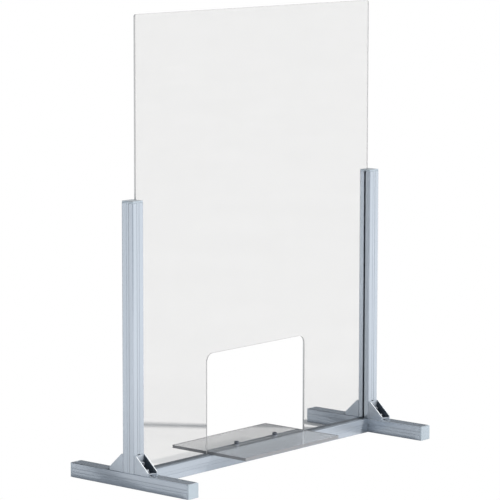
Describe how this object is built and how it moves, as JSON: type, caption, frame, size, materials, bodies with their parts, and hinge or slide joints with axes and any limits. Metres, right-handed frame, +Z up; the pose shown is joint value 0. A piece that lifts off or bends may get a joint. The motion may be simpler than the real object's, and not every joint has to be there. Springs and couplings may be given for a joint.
{
  "type": "sneeze guard",
  "caption": "Free-standing clear hygiene screen on a slotted aluminium frame, with a pass-through opening and a small clear serving shelf.",
  "frame": {"origin": "on the counter top, midway between the two feet, in the panel's middle plane", "axes": "+X along the width, from the left foot to the right foot; +Y from the front to the back; +Z up"},
  "size_m": [1.02, 0.42, 1.23],
  "materials": {
    "extrusion": "natural anodised, satin",
    "slot_cover": "natural anodised, satin",
    "end_cap": "light grey, fine grain",
    "bracket": "die-cast, silver powder coat",
    "bolt_steel": "stainless, turned",
    "zinc_steel": "zinc plated",
    "seal": "black, matt",
    "clear_sheet": "clear cast acrylic, polished edges"
  },
  "bodies": {
    "frame": {"left_foot": "extrusion", "right_foot": "extrusion", "left_post": "extrusion", "right_post": "extrusion", "cross_rail": "extrusion", "left_foot_front_cap": "end_cap", "left_foot_rear_cap": "end_cap", "right_foot_front_cap": "end_cap", "right_foot_rear_cap": "end_cap", "left_post_cap": "end_cap", "right_post_cap": "end_cap", "left_front_bracket": "bracket", "left_rear_bracket": "bracket", "right_front_bracket": "bracket", "right_rear_bracket": "bracket", "left_bracket_bolts": "bolt_steel", "right_bracket_bolts": "bolt_steel", "left_bracket_washers": "bolt_steel", "right_bracket_washers": "bolt_steel", "left_bracket_nuts": "zinc_steel", "right_bracket_nuts": "zinc_steel", "left_post_seal": "seal", "right_post_seal": "seal", "left_rail_seal": "seal", "right_rail_seal": "seal", "shelf": "clear_sheet", "shelf_screws": "bolt_steel", "shelf_washers": "bolt_steel", "shelf_nuts": "zinc_steel", "rail_end_screws": "bolt_steel", "rail_end_plates": "zinc_steel", "left_post_outer_cover": "slot_cover", "left_post_front_cover": "slot_cover", "left_post_rear_cover": "slot_cover", "right_post_outer_cover": "slot_cover", "right_post_front_cover": "slot_cover", "right_post_rear_cover": "slot_cover", "left_foot_outer_cover": "slot_cover", "left_foot_top_front_cover": "slot_cover", "left_foot_top_rear_cover": "slot_cover", "left_foot_inner_front_cover": "slot_cover", "left_foot_inner_rear_cover": "slot_cover", "right_foot_outer_cover": "slot_cover", "right_foot_top_front_cover": "slot_cover", "right_foot_top_rear_cover": "slot_cover", "right_foot_inner_front_cover": "slot_cover", "right_foot_inner_rear_cover": "slot_cover", "rail_front_cover": "slot_cover", "rail_rear_cover": "slot_cover"},
    "panel": {"panel": "clear_sheet"}
  },
  "joints": [
    {"name": "panel_lift", "type": "slide", "parent": "frame", "child": "panel", "axis": [0, 0, 1], "range_m": [0, 0.733]}
  ]
}
